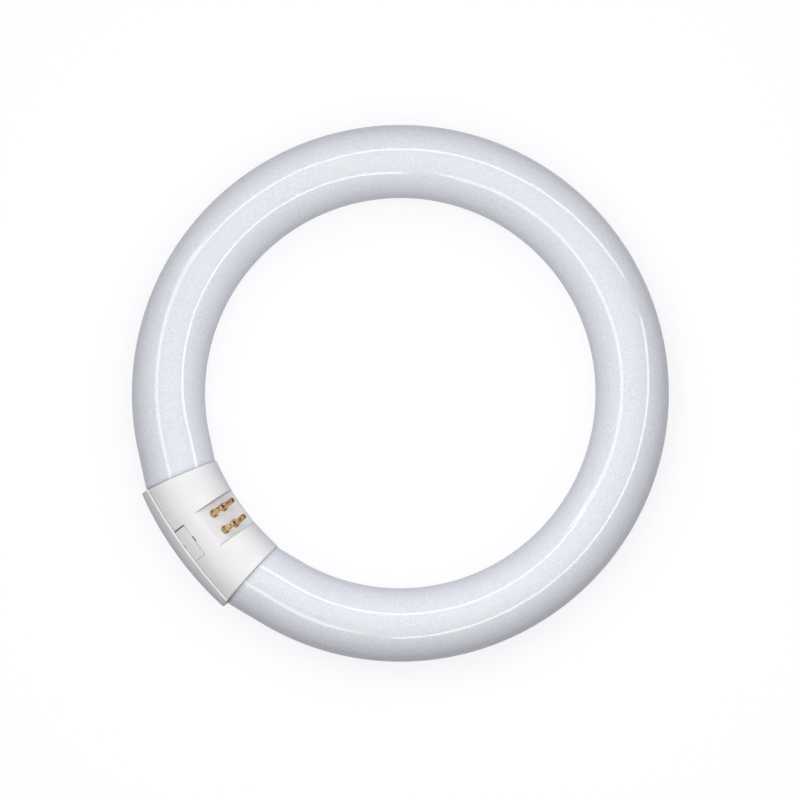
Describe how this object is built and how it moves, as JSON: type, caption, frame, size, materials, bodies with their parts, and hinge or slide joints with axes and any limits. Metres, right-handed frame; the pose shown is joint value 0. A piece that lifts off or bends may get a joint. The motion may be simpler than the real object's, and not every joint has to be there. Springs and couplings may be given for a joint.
{
  "type": "circular fluorescent tube",
  "caption": "Ring-shaped fluorescent lamp: one bent, sealed glass tube closed by a clip-on plastic base with slanted brass contact pins.",
  "frame": {"origin": "centre of the ring, in the plane of the tube's centre line", "axes": "+Z is the ring's axis on the side that the pins lean to; the base is on the -Y side"},
  "size_m": [0.216, 0.2188, 0.0333],
  "materials": {
    "coated_glass": "clear glossy glass over a white powder coat, opaque",
    "base_plastic": "off-white, finely textured",
    "pin_brass": "drawn, slightly dull",
    "lead_metal": "nickel plated wire",
    "sleeve_rubber": "white silicone sleeving"
  },
  "bodies": {
    "root": {"glass_tube": "coated_glass", "front_shell": "base_plastic", "rear_shell": "base_plastic", "contact_pin_1": "pin_brass", "contact_pin_2": "pin_brass", "contact_pin_3": "pin_brass", "contact_pin_4": "pin_brass", "lead_wire_1": "lead_metal", "lead_wire_2": "lead_metal", "lead_wire_3": "lead_metal", "lead_wire_4": "lead_metal", "lead_sleeve_1": "sleeve_rubber", "lead_sleeve_2": "sleeve_rubber", "lead_sleeve_3": "sleeve_rubber", "lead_sleeve_4": "sleeve_rubber"}
  },
  "joints": []
}
